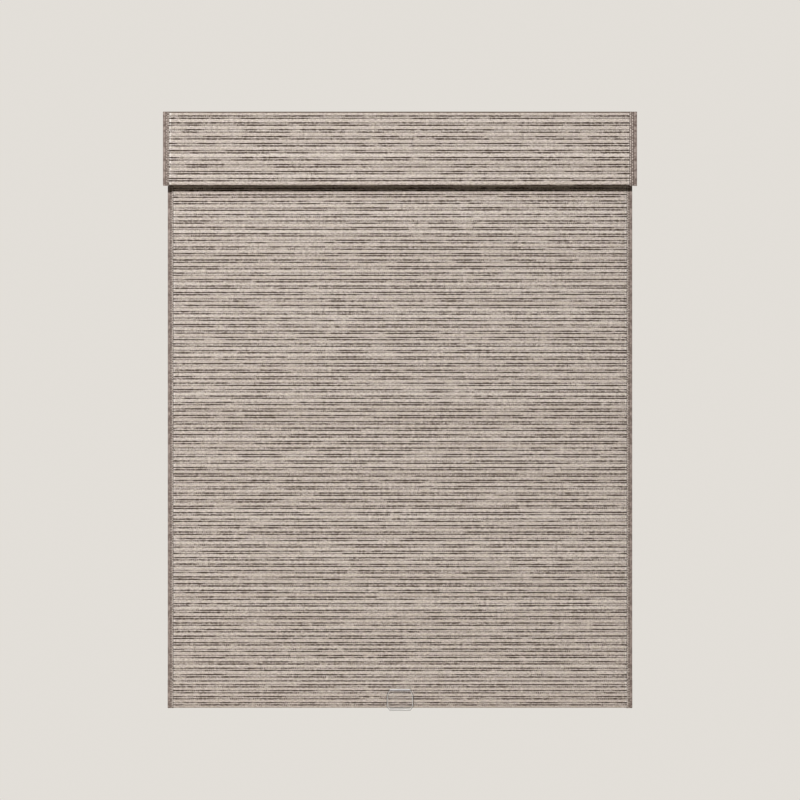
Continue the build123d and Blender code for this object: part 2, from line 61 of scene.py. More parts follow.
weave = {
    "rowPitch": 12.95 * mm,       # one reed and one slat, as in the solids
    "reedSpacing": 4.4 * mm,      # from the groove before a reed to the groove after it
    "slatHalf": 0.9 * mm,         # half the mat's thickness
    "slatSeam": 8.65,             # the crease along a slat, in millimetres into its row
    "edge": 0.5 * mm,             # width of the rounded side edge
    "wobble": 0.32 * mm,          # how far a line wanders along the mat
    "wobbleLength": 42 * mm,
    "wobbleRows": 5.5 * mm,
    "drift": 2.2 * mm,            # how far whole rows stray from an even spacing
    "driftLength": 70 * mm,
    "ripple": 0.3,                # how much the reeds' heights vary
    "rippleLength": 24 * mm,
    "rippleRows": 3 * mm,
    "jag": 2.0,                   # how far the dark yarn strays from its groove, in millimetres
    "dark": (0.028, 0.017, 0.010),
    "darkFaded": (0.075, 0.052, 0.038),
    "straw": (0.56, 0.48, 0.42),
    "strawLight": (0.83, 0.755, 0.69),
    "strawGrey": (0.26, 0.214, 0.18),
    # painted shade for the creases along the slats and the shoulders beside the grooves
    "strawShade": (0.20, 0.155, 0.12),
    "strawBesideTape": (0.95, 0.90, 0.85),
    "tints": ((0.60, 0.53, 0.42), (0.58, 0.49, 0.50)),
    "bound": 438.2 * mm,          # where the tape begins, to each side of the middle
    "valanceBound": 443.0 * mm,
    "valanceY": -36 * mm,         # mat nearer the room than this is the valance's
}

thread = {
    "pitch": 3.75 * mm,           # from one light warp thread to the next
    "size": (0.68 * mm, 1.45 * mm, 0.55 * mm),
    "least": 0.75,                # the smallest dot's share of that size
    "most": 1.2,
    "height": 0.42 * mm,          # above the mat's middle
    "endMargin": 3 * mm,
    "sideMargin": 12 * mm,
    "fewerBehind": 0.03,
    "light": (0.82, 0.75, 0.69),
    "plain": (0.62, 0.55, 0.49),
    "dark": (0.42, 0.37, 0.33),
}

tape = {
    "thickness": 0.5 * mm,
    "gap": 0.05 * mm,
    "ridge": 0.12 * mm,          # the tape rises a little over each reed and slat
    "ridgeWidth": 0.8 * mm,
    "fold": 0.5 * mm,
    "face": 11 * mm,
    "stationsPerRow": 12,
    "stitchInset": 1.9 * mm,     # from the tape's inner edge to a row of stitches
    "stitchStart": 3 * mm,
    "stitchMargin": 4 * mm,
    "stitchPitch": 4.4 * mm,
    "stitchSize": (1.05 * mm, 1.15 * mm, 0.34 * mm),
    "border": 6.2 * mm,          # the netted inner half
    "knotPitch": 2.6 * mm,
    "plainDark": (0.155, 0.113, 0.096),
    "plainLight": (0.44, 0.362, 0.325),
    "netDark": (0.07, 0.049, 0.039),
    "netLight": (0.78, 0.68, 0.615),
    "netWorn": (0.22, 0.165, 0.14),
    "cloud": (0.32, 0.255, 0.22),
    # painted shade for the tape's dips over the grooves, its seam, its inner edge and its outer fold
    "crease": (0.085, 0.062, 0.05),
}

# One row of the mat's section: distance along it and half thickness, in millimetres
rowSection = [
    (0, 0.30), (0.50, 0.22), (0.82, 0.60), (1.45, 0.78), (2.95, 0.78), (3.58, 0.60), (3.90, 0.22),
    (4.40, 0.30), (4.90, 0.22), (5.22, 0.62), (6.00, 0.88), (8.65, 0.77), (11.35, 0.88),
    (12.13, 0.62), (12.45, 0.22),
]
rowPoints = len(rowSection)


class Socket:
    def __init__(self, maker, socket):
        self.maker = maker
        self.socket = socket

    def __add__(self, other):
        return self.maker.math("ADD", self, other)

    def __sub__(self, other):
        return self.maker.math("SUBTRACT", self, other)

    def __rsub__(self, other):
        return self.maker.math("SUBTRACT", other, self)

    def __mul__(self, other):
        return self.maker.math("MULTIPLY", self, other)

    def __truediv__(self, other):
        return self.maker.math("DIVIDE", self, other)

    def __rtruediv__(self, other):
        return self.maker.math("DIVIDE", other, self)

    def __gt__(self, other):
        return self.maker.math("GREATER_THAN", self, other)

    def __lt__(self, other):
        return self.maker.math("LESS_THAN", self, other)

    def __neg__(self):
        return self.maker.math("MULTIPLY", self, -1)

    __radd__ = __add__
    __rmul__ = __mul__


class NodeMaker:
    def __init__(self, tree):
        self.tree = tree

    def add(self, kind, settings=None, inputs=None, output=0):
        node = self.tree.nodes.new(kind)
        for name, value in (settings or {}).items():
            if name == "points":
                setCurve(node, value)
            else:
                setattr(node, name, value)
        for name, value in (inputs or {}).items():
            target = findSocket(node.inputs, name)
            if isinstance(value, Socket):
                self.tree.links.new(value.socket, target)
            else:
                target.default_value = value
        return Socket(self, findSocket(node.outputs, output)) if len(node.outputs) else None

    def math(self, operation, *values):
        return self.add("ShaderNodeMath", {"operation": operation}, dict(enumerate(values)))

    def floor(self, value):
        return self.math("FLOOR", value)

    def absolute(self, value):
        return self.math("ABSOLUTE", value)

    def least(self, first, second):
        return self.math("MINIMUM", first, second)

    def most(self, first, second):
        return self.math("MAXIMUM", first, second)

    def clamp(self, value, low=0.0, high=1.0):
        return self.least(self.most(value, low), high)

    def zigzag(self, value, reach):
        return self.math("PINGPONG", value, reach) / reach

    def smooth(self, value, low, high, start=0, end=1):
        return self.add("ShaderNodeMapRange", {"interpolation_type": "SMOOTHSTEP"}, {
            "Value": value, "From Min": low, "From Max": high, "To Min": start, "To Max": end})

    def vector(self, x, y, z):
        return self.add("ShaderNodeCombineXYZ", None, {"X": x, "Y": y, "Z": z})

    def split(self, vector):
        first = self.add("ShaderNodeSeparateXYZ", None, {0: vector})
        return [Socket(self, output) for output in first.socket.node.outputs]

    def vectorMath(self, operation, *values):
        return self.add("ShaderNodeVectorMath", {"operation": operation}, dict(enumerate(values)))

    def noise(self, vector, scale, detail, roughness=0.5):
        return self.add("ShaderNodeTexNoise", None, {
            "Vector": vector, "Scale": scale, "Detail": detail, "Roughness": roughness})

    def pattern(self, x, y, z, detail=1, roughness=0.5):
        return self.noise(self.vector(x, y, z), 1, detail, roughness)

    def store(self, geometry, name, value):
        return self.add("GeometryNodeStoreNamedAttribute", {"data_type": "FLOAT_VECTOR", "domain": "POINT"}, {
            "Geometry": geometry, "Name": name, "Value": value})

    def mix(self, factor, first, second):
        return self.add("ShaderNodeMix", {"data_type": "RGBA"}, {
            0: factor, 6: withAlpha(first), 7: withAlpha(second)}, output=2)


def findSocket(sockets, name):
    if isinstance(name, int):
        return sockets[name]
    return next(socket for socket in sockets if socket.name == name and socket.enabled)


def withAlpha(color):
    return color if isinstance(color, Socket) else (*color, 1)


def setCurve(node, points):
    curve = node.mapping.curves[0]
    while len(curve.points) < len(points):
        curve.points.new(0.5, 0.5)
    for point, (x, y) in zip(curve.points, points):
        point.location = (x, y)
        point.handle_type = "VECTOR"
    node.mapping.update()


# Materials

def newMaterial(name):
    material = bpy.data.materials.new(name)
    material.use_nodes = True
    material.node_tree.nodes.clear()
    return material, NodeMaker(material.node_tree)


def surface(m, inputs, bump=None, bumpDistance=0.1 * mm, bumpStrength=1.0):
    values = {**inputs, "Base Color": withAlpha(inputs["Base Color"])}
    if bump is not None:
        values["Normal"] = m.add("ShaderNodeBump", None, {
            "Strength": bumpStrength, "Distance": bumpDistance, "Height": bump})
    m.add("ShaderNodeOutputMaterial", None, {"Surface": m.add("ShaderNodeBsdfPrincipled", None, values)})


def weaveCoords(m):
    return m.split(m.add("ShaderNodeAttribute", {"attribute_name": "weave"}, output="Vector"))


# Where a place lies in its row, how near it is to a groove, and that groove's number
def grooveOf(m, row, wander):
    pitch, spacing = weave["rowPitch"] / mm, weave["reedSpacing"] / mm
    line = m.floor(row)
    plain = (row - line) * pitch
    phase = plain + wander
    nearFirst = m.least(m.absolute(phase), m.absolute(pitch - phase))
    nearSecond = m.absolute(phase - spacing)
    groove = m.floor(row + (1 - spacing / pitch) / 2) * 2 + (nearSecond < nearFirst)
    return line, plain, m.least(nearFirst, nearSecond), groove


def randomOf(m, cell, line):
    return m.add("ShaderNodeTexWhiteNoise", {"noise_dimensions": "2D"},
                 {"Vector": m.vector(cell, line, 0.0)}, output="Value")


# The steps from row to row are uneven numbers, so that no pattern repeats down the mat
def weaveMaterial():
    material, m = newMaterial("wovenMat")
    x, row, side = weaveCoords(m)
    jag = m.pattern(x * 120, row * 3.618, side, 3, 0.65)
    line, phase, near, groove = grooveOf(m, row, (jag - 0.5) * weave["jag"])

    # Each groove's dark yarn runs for long stretches and fades between them
    dashes = m.pattern(x * 27, groove * 5.618, side, 4, 0.6)
    fine = m.pattern(x * 210, groove * 9.382, side, 3, 0.65)
    width = m.smooth(dashes, 0.35, 0.46, 0.95, 1.28) + (fine - 0.5) * 1.8
    yarn = m.smooth(near - width, -0.15, 0.25, 1, 0)
    depth = m.smooth(dashes, 0.36, 0.45, 0.6, 1) * m.smooth(fine, 0.36, 0.50, 0.72, 1)

    # Light warp threads cross the grooves in stretches, where beadTree has them too
    stretch = m.pattern(x * 13, groove * 1.618, side * 4)
    beadPlace = m.zigzag(x + groove * 0.5 * thread["pitch"], thread["pitch"] / 2)
    beads = m.smooth(beadPlace, 0.45, 0.75) * m.smooth(stretch, 0.48, 0.56)
    ticks = m.smooth(beadPlace, 0.72, 0.95) * m.smooth(m.pattern(x * 30, row * 5.382, side), 0.5, 0.6)

    # Reeds and slats: a tone of their own, long strands and short fibres
    slat = phase > weave["reedSpacing"] / mm
    element = line * 2 + slat
    tone = randomOf(m, element, 3.0)
    patches = m.pattern(x * 12, element * 0.618, side, 3)
    strands = m.pattern(x * 75, phase * 1.3 + element * 7.618, side, 4, 0.7)
    fibres = m.pattern(x * 420, phase * 1.1 + element * 17.382, side, 4, 0.7)
    hairs = m.pattern(x * 1500, phase * 3.2, side, 2)
    knots = m.pattern(x * 180, phase * 0.7 + element * 3.618, side, 3, 0.65)
    grain = strands * 0.22 + fibres * 0.23 + hairs * 0.1 + knots * 0.45
    # Painted shade: the straw darkens in the crease along each slat and on the rounded shoulders beside each
    # groove
    seamShade = m.smooth(m.absolute(phase - weave["slatSeam"]), 0.15, 0.9, 1, 0) * m.smooth(strands, 0.45, 0.6)
    shoulderShade = m.smooth(near, 0.7, 1.4, 1, 0)

    # The straw is lighter in spots just inside each tape
    onValance = m.split(m.add("ShaderNodeTexCoord", output="Object"))[1] < weave["valanceY"]
    bound = onValance * (weave["valanceBound"] - weave["bound"]) + weave["bound"]
    besideTape = m.smooth(bound - m.absolute(x), 0.4 * mm, 2.6 * mm, 1, 0) * m.smooth(knots, 0.42, 0.55)

    straw = m.mix(m.smooth(grain, 0.41, 0.53), weave["strawGrey"], weave["straw"])
    lighter = m.smooth(grain + tone * 0.05 + (patches - 0.5) * 0.08, 0.48, 0.60) * (1 - slat * 0.2)
    straw = m.mix(lighter, straw, weave["strawLight"])
    tint = m.mix(m.smooth(m.pattern(x * 70, row * 2.618, side, 2), 0.4, 0.6), *weave["tints"])
    straw = m.mix(0.2, straw, tint)
    straw = m.mix(ticks * 0.45, straw, weave["strawLight"])
    # painted shade in the creases and on the shoulders
    straw = m.mix(m.clamp(shoulderShade * 0.2 + seamShade * 0.2), straw, weave["strawShade"])
    straw = m.mix(besideTape * 0.8, straw, weave["strawBesideTape"])
    dark = m.mix(fine, weave["dark"], weave["darkFaded"])
    color = m.mix(yarn * (1 - beads * 0.8), straw, m.mix(depth, straw, dark))
    height = grain + beads * 0.5 - yarn * 0.3
    surface(m, {"Base Color": color, "Roughness": 0.86, "Specular IOR Level": 0.25}, height, 0.3 * mm, 0.7)
    return material


def beadMaterial():
    material, m = newMaterial("warpThread")
    place = m.add("ShaderNodeTexCoord", output="Object")
    fibres = m.noise(place, 2600, 2)
    color = m.mix(m.noise(place, 38, 2), thread["plain"], thread["light"])
    color = m.mix(fibres * 0.5, color, thread["dark"])
    surface(m, {"Base Color": color, "Roughness": 0.8, "Specular IOR Level": 0.25}, fibres, 0.1 * mm, 0.5)
    return material


def tapeMaterial():
    material, m = newMaterial("bindingTape")
    inset, row, reach = weaveCoords(m)
    near = grooveOf(m, row, 0.0)[2]
    along = row * weave["rowPitch"]
    cloth = m.math("PINGPONG", inset + reach, 0.3 * mm) + m.math("PINGPONG", along, 0.35 * mm)
    cloth = cloth / (0.65 * mm)
    mottle = m.pattern(inset * 150, along * 170, reach * 300, 4, 0.7)
    cloudy = m.pattern(inset * 60, along * 60, reach * 60, 2)

    # The inner half is a netted border: light knots in staggered columns, each of its own tone
    pitch = tape["knotPitch"]
    column = m.floor(inset / pitch)
    step = along / (2 * pitch) + column * 0.5
    tone = randomOf(m, column, m.floor(step))
    knot = m.smooth(m.zigzag(inset, pitch / 2) + m.zigzag(step, 0.5), 0.75, 1.35)
    knot = knot * m.smooth(tone, 0.05, 0.6, 0.35, 1)
    start = tape["face"] - tape["border"]
    border = m.smooth(inset, start, start + 0.4 * mm)
    # The seam between the halves and the tape's inner edge are painted darker, as shade
    seamShade = m.smooth(m.absolute(inset - start), 0.3 * mm, 0.9 * mm, 1, 0)
    rim = m.smooth(inset, tape["face"] - 0.9 * mm, tape["face"] - 0.2 * mm)

    plain = m.mix(m.smooth(mottle, 0.38, 0.60), tape["plainDark"], tape["plainLight"])
    netted = m.mix(knot, tape["netDark"], tape["netLight"])
    netted = m.mix(m.smooth(mottle, 0.4, 0.6, 0.45, 0), netted, tape["netWorn"])
    color = m.mix(border, plain, netted)
    color = m.mix(cloudy * 0.3, color, tape["cloud"])
    # Painted shade: darker over the mat's grooves, in the seam, at the inner edge and along the outer fold, with a
    # little of the cloth's weave
    foldShade = m.smooth(inset, 0.6 * mm, 2.2 * mm, 1, 0)
    sunkShade = m.smooth(near, 0.4, 1.6, 1, 0) * 0.15 + seamShade * 0.5 + rim * 0.5 + cloth * 0.1 + foldShade * 0.2
    color = m.mix(m.clamp(sunkShade, 0.0, 0.85), color, tape["crease"])
    height = cloth * 0.5 + mottle + knot * border * 0.8 - (seamShade + rim) * 0.6
    surface(m, {"Base Color": color, "Roughness": 0.9, "Specular IOR Level": 0.2}, height, 0.3 * mm, 0.7)
    return material


# Every other finish is a base colour with a grain: streaks or specks at the right scale
finishes = {
    "rail_paint": {"color": (0.70, 0.685, 0.645), "speck": (0.64, 0.625, 0.59), "roughness": 0.45,
                   "metallic": 0.0, "grain": (900, 900, 900), "bump": 0.03},
    "mill_aluminium": {"color": (0.76, 0.765, 0.77), "speck": (0.60, 0.61, 0.62), "roughness": 0.34,
                       "metallic": 1.0, "grain": (6, 1500, 1500), "bump": 0.01},
    "spring_steel": {"color": (0.50, 0.50, 0.505), "speck": (0.36, 0.355, 0.35), "roughness": 0.3,
                     "metallic": 1.0, "grain": (240, 240, 240), "bump": 0.01},
    "zinc": {"color": (0.54, 0.55, 0.565), "speck": (0.42, 0.43, 0.45), "roughness": 0.5,
             "metallic": 1.0, "grain": (300, 300, 300), "bump": 0.01},
    "plug_plastic": {"color": (0.74, 0.735, 0.72), "speck": (0.68, 0.675, 0.66), "roughness": 0.5,
                     "metallic": 0.0, "grain": (1800, 1800, 1800), "bump": 0.02},
    "board": {"color": (0.245, 0.15, 0.085), "speck": (0.15, 0.085, 0.045), "roughness": 0.75,
              "metallic": 0.0, "grain": (500, 500, 500), "bump": 0.05},
    # painted shade: the dark strip along the valance's top edge
    "top_edge_shade": {"color": (0.15, 0.105, 0.078), "speck": (0.085, 0.06, 0.045), "roughness": 0.9,
                  "metallic": 0.0, "grain": (700, 700, 700), "bump": 0.1},
    "hook_tape": {"color": (0.78, 0.775, 0.755), "speck": (0.60, 0.595, 0.575), "roughness": 0.95,
                  "metallic": 0.0, "grain": (2600, 2600, 2600), "bump": 0.35},
}


def plainMaterial(slot):
    look = finishes[slot]
    material, m = newMaterial(slot.replace("_", ""))
    place = m.add("ShaderNodeTexCoord", output="Object")
    grain = m.noise(m.vectorMath("MULTIPLY", place, look["grain"]), 1, 3, 0.6)
    color = m.mix(m.smooth(grain, 0.35, 0.7), look["speck"], look["color"])
    color = m.mix(m.noise(place, 14, 2) * 0.3, color, look["speck"])
    rough = m.smooth(grain, 0.3, 0.7, look["roughness"] * 0.85, look["roughness"] * 1.15)
    inputs = {"Base Color": color, "Roughness": rough, "Metallic": look["metallic"]}
    surface(m, inputs, grain, look["bump"] * mm)
    return material


tab = {
    "bevel": 0.3 * mm,
    "segments": 3,
    "haze": 0.02,                 # how much the clear plate veils what is behind it
    "rimInset": 1.5 * mm,
    "rimRadius": 0.45 * mm,
    "edgeInset": 0.55 * mm,
    "edgeRadius": 0.34 * mm,
    "ledge": 6 * mm,
    "clearColor": (0.66, 0.63, 0.61),
    # The next three are painted light: a sheen on the ledge, dark shade and refraction at the edges, and a white
    # highlight
    "sheenColor": (0.82, 0.79, 0.83),
    "edgeShadeColor": (0.035, 0.03, 0.026),
    "highlightColor": (0.97, 0.97, 0.97),
}

# What the "rim" attribute of the tab's faces says: clear plastic, a painted sheen, a painted dark edge of shade
# and refraction, or a painted white highlight
rimKinds = {"clear": 0.0, "veil": 0.2, "edge": 0.5, "bead": 1.0}


def clearMaterial():
    material, m = newMaterial("clearPlastic")
    haze = m.noise(m.add("ShaderNodeTexCoord", output="Object"), 60, 3)
    rim = m.add("ShaderNodeAttribute", {"attribute_name": "rim"}, output="Fac")
    veil, edge, bead = m.smooth(rim, 0.05, 0.2), m.smooth(rim, 0.3, 0.5), m.smooth(rim, 0.7, 0.9)
    # Painted light on the clear plate: a sheen on the ledge, dark lines of shade and refraction, and a white
    # highlight
    color = m.mix(edge, m.mix(veil, tab["clearColor"], tab["sheenColor"]), tab["edgeShadeColor"])
    color = m.mix(bead, color, tab["highlightColor"])
    rough = m.smooth(haze, 0.3, 0.7, 0.05, 0.12)
    alpha = m.clamp(veil * 0.25 + edge * 0.25 + bead * 0.2 + haze * 0.04 + tab["haze"])
    surface(m, {"Base Color": color, "Roughness": rough, "IOR": 1.49, "Alpha": alpha})
    return material


materials = {slot: plainMaterial(slot) for slot in finishes}
materials["woven_mat"] = weaveMaterial()
materials["warp_thread"] = beadMaterial()
materials["binding_tape"] = tapeMaterial()
materials["clear_plastic"] = clearMaterial()
print("materials made:", len(materials))

nodeSlots = {part["node"]: part["material_slot"] for part in frame["record"]["subparts"]}
for name, node in nodes.items():
    node.data.materials.clear()
    node.data.materials.append(materials[nodeSlots[name]])


# Routes: a line in Y and Z that a mat or a tape follows, its outer face to the left of the way down

def arcPoints(centre, radius, start, end, step=5):
    count = math.ceil(abs(end - start) / step)
    angles = [math.radians(start + (end - start) * i / count) for i in range(count + 1)]
    return [(centre[0] + radius * math.cos(a), centre[1] + radius * math.sin(a)) for a in angles]


def foldRoute(box, returnTop):
    low, high = box
    half = weave["slatHalf"]
    radius = (high.y - low.y) / 2 - half
    middle = (high.y + low.y) / 2
    bendZ = low.z + half + radius
    bend = arcPoints((middle, bendZ), radius, 180, 360, 10)
    return [(middle - radius, high.z), *bend, (middle + radius, returnTop)]


def routeLength(route):
    return sum(math.dist(a, b) for a, b in zip(route, route[1:]))


def routeAt(route, along):
    for a, b in zip(route, route[1:]):
        span = math.dist(a, b)
        if along <= span or b == route[-1]:
            direction = ((b[0] - a[0]) / span, (b[1] - a[1]) / span)
            along = min(along, span)
            return (a[0] + direction[0] * along, a[1] + direction[1] * along), (direction[1], -direction[0])
        along -= span


rollerZ = next(joint["pos_m"][2] for joint in frame["joints"] if joint["name"] == "roller_spin")
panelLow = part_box("woven_panel")[0]
hemLow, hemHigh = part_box("hem_weave")
valanceLow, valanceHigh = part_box("valance_weave")
fallY = panelLow.y + weave["slatHalf"]
routeLook = {
    "grooveAngle": -110.0,        # of the tube's groove that holds the mat, in degrees
    "matReturn": 25 * mm,         # how far the valance's mat goes up again behind the board
}

routes = {
    "fall": [(fallY, rollerZ), (fallY, panelLow.z)],
    "roll": arcPoints((0, rollerZ), -fallY, routeLook["grooveAngle"], 180),
    "valance": foldRoute(
        (valanceLow, valanceHigh),
        valanceLow.z + (valanceHigh.y - valanceLow.y) / 2 + routeLook["matReturn"],
    ),
    "hem": foldRoute((hemLow, hemHigh), hemHigh.z),
}

# Geometry Nodes

def newTree(name, inputs):
    tree = bpy.data.node_groups.new(name, "GeometryNodeTree")
    tree.interface.new_socket("Geometry", in_out="INPUT", socket_type="NodeSocketGeometry")
    for socketName, kind, value in inputs:
        socket = tree.interface.new_socket(socketName, in_out="INPUT", socket_type="NodeSocket" + kind)
        if value is not None:
            socket.default_value = value
    tree.interface.new_socket("Geometry", in_out="OUTPUT", socket_type="NodeSocketGeometry")
    m = NodeMaker(tree)
    entry = m.add("NodeGroupInput").socket.node
    return tree, m, {socket.name: Socket(m, socket) for socket in entry.outputs if socket.name}


def closeTree(m, geometry, material):
    geometry = m.add("GeometryNodeRealizeInstances", None, {"Geometry": geometry})
    geometry = m.add("GeometryNodeSetShadeSmooth", None, {"Geometry": geometry, "Shade Smooth": True})
    geometry = m.add("GeometryNodeSetMaterial", None, {"Geometry": geometry, "Material": material})
    m.add("NodeGroupOutput", None, {0: geometry})


def newPiece(name, mesh):
    piece = bpy.data.objects.new(name, mesh)
    scene.collection.objects.link(piece)
    return piece


def newMesh(name, vertices, edges, faces):
    mesh = bpy.data.meshes.new(name)
    mesh.from_pydata(vertices, edges, faces)
    return mesh


def applyModifier(piece, modifier):
    bpy.context.view_layer.update()
    evaluated = piece.evaluated_get(bpy.context.evaluated_depsgraph_get())
    result = bpy.data.meshes.new_from_object(evaluated)
    piece.modifiers.remove(modifier)
    piece.data = result
    result.name = piece.name


def runTree(name, tree, points, values, closed=False):
    edges = [(i, i + 1) for i in range(len(points) - 1)]
    if closed:
        edges.append((len(points) - 1, 0))
    piece = newPiece(name, newMesh(name, points, edges, []))
    modifier = piece.modifiers.new(name, "NODES")
    modifier.node_group = tree
    for item in tree.interface.items_tree:
        if item.item_type == "SOCKET" and item.in_out == "INPUT" and item.name in values:
            modifier[item.identifier] = values[item.name]
    applyModifier(piece, modifier)
    print("made", name, len(piece.data.polygons), "faces")
    return piece


def gridCounters(m, columns, loops):
    grid = m.add("GeometryNodeMeshGrid", None, {
        "Size X": 1.0, "Size Y": 1.0, "Vertices X": columns, "Vertices Y": loops})
    across, down = m.split(m.add("GeometryNodeInputPosition"))[:2]
    column = m.math("ROUND", (across + 0.5) * (columns - 1))
    return grid, column, m.math("ROUND", (down + 0.5) * (loops - 1))


def wobbleOf(m, x, along, given):
    wander = m.pattern(x / weave["wobbleLength"], along / weave["wobbleRows"], given["Seed"] * 3.1, 2)
    slow = m.pattern(along / weave["driftLength"], given["Seed"] * 7.7, x * 0.8)
    toEnd = m.least(along, given["Length"] - along) / weave["driftLength"]
    drift = (slow - 0.5) * (2 * weave["drift"]) * m.clamp(toEnd)
    return (wander - 0.5) * (2 * weave["wobble"]) + drift


# The place at a length along the route, at x, lifted off it, and the way out of the route there
def onRoute(m, route, along, x, height):
    curve = m.add("GeometryNodeMeshToCurve", None, {"Mesh": route})
    point = m.add(
        "GeometryNodeSampleCurve", {"mode": "LENGTH"}, {"Curves": curve, "Length": along}, "Position")
    tangent = Socket(m, point.socket.node.outputs["Tangent"])
    normal = m.vectorMath("CROSS_PRODUCT", tangent, (1, 0, 0))
    lifted = m.add("ShaderNodeVectorMath", {"operation": "SCALE"}, {0: normal, "Scale": height})
    place = m.vectorMath("ADD", point, lifted)
    return m.vectorMath("ADD", place, m.vector(x, 0.0, 0.0)), normal


def dotsOn(m, points, outward, rings, scale):
    turned = m.add("FunctionNodeAxesToRotation", {"primary_axis": "Z", "secondary_axis": "X"},
                   {"Primary Axis": outward, "Secondary Axis": (1, 0, 0)})
    dot = m.add("GeometryNodeMeshUVSphere", None, {"Segments": 6, "Rings": rings, "Radius": 1.0})
    return m.add("GeometryNodeInstanceOnPoints", None, {
        "Points": points, "Instance": dot, "Rotation": turned, "Scale": scale})


# The mat is one grid wrapped round from the front to the back, with rowSection's profile in each row
def matTree():
    tree, m, given = newTree("wovenMat", [
        ("Width", "Float", 0.9), ("Length", "Float", 1.0), ("First Row", "Float", 0.0),
        ("Row Pitch", "Float", weave["rowPitch"]), ("Rows", "Int", 10), ("Columns", "Int", 38),
        ("Seed", "Float", 1.0), ("Material", "Material", None),
    ])
    points = given["Rows"] * rowPoints
    grid, column, loop = gridCounters(m, given["Columns"], points * 2)
    front = loop < points - 0.5
    step = loop * front + (points * 2 - 1 - loop) * (1 - front)
    side = front * 2 - 1
    row = m.floor((step + 0.01) / rowPoints)
    share = (step - row * rowPoints) / rowPoints
    fullPitch = weave["rowPitch"] / mm
    place = m.add("ShaderNodeFloatCurve", {
        "points": [(i / rowPoints, along / fullPitch) for i, (along, half) in enumerate(rowSection)]
        + [(1, 1)]}, {"Value": share})
    half = m.add("ShaderNodeFloatCurve", {
        "points": [(i / rowPoints, half) for i, (along, half) in enumerate(rowSection)]
        + [(1, rowSection[0][1])]}, {"Value": share})

    # The reeds keep their width, and the slats take up the change of pitch
    spacing = weave["reedSpacing"]
    full = place * weave["rowPitch"]
    stretch = (given["Row Pitch"] - spacing) / (weave["rowPitch"] - spacing)
    local = m.least(full, spacing) + m.most(full - spacing, 0.0) * stretch
    along = given["First Row"] + row * given["Row Pitch"] + local

    reach = given["Width"] / 2 - weave["edge"]
    evenly = (column - 1) / (given["Columns"] - 3) * (reach * 2) - reach
    atStart = column < 0.5
    atEnd = column > given["Columns"] - 1.5
    x = m.clamp(evenly, -reach, reach) + (atEnd - atStart) * weave["edge"]

    inside = (along > 0.0) * (along < given["Length"])
    wandering = along + wobbleOf(m, x, along, given) * inside
    held = m.clamp(wandering, 0.0, given["Length"])
    uneven = m.pattern(x / weave["rippleLength"], along / weave["rippleRows"], given["Seed"], 2)
    height = half * mm * ((uneven - 0.5) * weave["ripple"] + 1) * inside * (1 - atStart) * (1 - atEnd)
    position = onRoute(m, given["Geometry"], held, x, height * side)[0]

    stored = m.store(grid, "weave", m.vector(x, row + place + given["Seed"] * 100, side))
    placed = m.add("GeometryNodeSetPosition", None, {"Geometry": stored, "Position": position})
    merged = m.add("GeometryNodeMergeByDistance", None, {"Geometry": placed, "Distance": 0.01 * mm})
    closeTree(m, merged, given["Material"])
    return tree


# Each row has four lines of dots: two grooves on each side of the mat
def beadTree():
    tree, m, given = newTree("warpBeads", [
        ("Width", "Float", 0.9), ("Length", "Float", 1.0), ("First Row", "Float", 0.0),
        ("Row Pitch", "Float", weave["rowPitch"]), ("Rows", "Int", 10),
        ("Bead Pitch", "Float", thread["pitch"]), ("Share", "Float", 0.6), ("Seed", "Float", 1.0),
        ("Material", "Material", None),
    ])
    columns = m.floor(given["Width"] / given["Bead Pitch"])
    grid, column, loop = gridCounters(m, columns, given["Rows"] * 4)
    row = m.floor((loop + 0.01) / 4)
    part = loop - row * 4
    second = part > 1.5
    side = (part - second * 2) * 2 - 1
    line = row * 2 + second
    along = given["First Row"] + row * given["Row Pitch"] + second * weave["reedSpacing"]
    x = (column - (columns - 1) / 2) * given["Bead Pitch"] + second * 0.5 * given["Bead Pitch"]
    stretch = m.pattern(x * 13, (line + given["Seed"] * 200) * 1.618, side * 4)
    margin = thread["endMargin"]
    bare = given["Share"] + (1 - side) * thread["fewerBehind"]
    gone = (stretch < bare) + (along < margin) + (along > given["Length"] - margin)
    at = along + wobbleOf(m, x, along, given)
    position, normal = onRoute(m, given["Geometry"], at, x, side * thread["height"])
    outward = m.vectorMath("MULTIPLY", normal, m.vector(side, side, side))
    kept = m.add("GeometryNodeDeleteGeometry", {"domain": "POINT"}, {
        "Geometry": grid, "Selection": gone > 0.5})
    stored = m.store(kept, "outward", outward)
    placed = m.add("GeometryNodeSetPosition", None, {"Geometry": stored, "Position": position})
    facing = m.add("GeometryNodeInputNamedAttribute", {"data_type": "FLOAT_VECTOR"}, {"Name": "outward"})
    size = m.add("FunctionNodeRandomValue", {"data_type": "FLOAT"}, {
        "Min": thread["least"], "Max": thread["most"], "Seed": 5}, "Value")
    scale = m.vectorMath("MULTIPLY", thread["size"], m.vector(size, size, size))
    closeTree(m, dotsOn(m, placed, facing, 2, scale), given["Material"])
    return tree


def stitchTree():
    tree, m, given = newTree("stitches", [
        ("X", "Float", 0.0), ("Height", "Float", 1.5 * mm), ("Start", "Float", 2 * mm), ("Count", "Int", 10),
        ("Stitch Pitch", "Float", 3.2 * mm), ("Material", "Material", None),
    ])
    line = m.add("GeometryNodeMeshLine", {"mode": "OFFSET"}, {"Count": given["Count"]})
    along = given["Start"] + m.add("GeometryNodeInputIndex") * given["Stitch Pitch"]
    position, normal = onRoute(m, given["Geometry"], along, given["X"], given["Height"])
    placed = m.add("GeometryNodeSetPosition", None, {"Geometry": line, "Position": position})
    closeTree(m, dotsOn(m, placed, normal, 4, tape["stitchSize"]), given["Material"])
    return tree


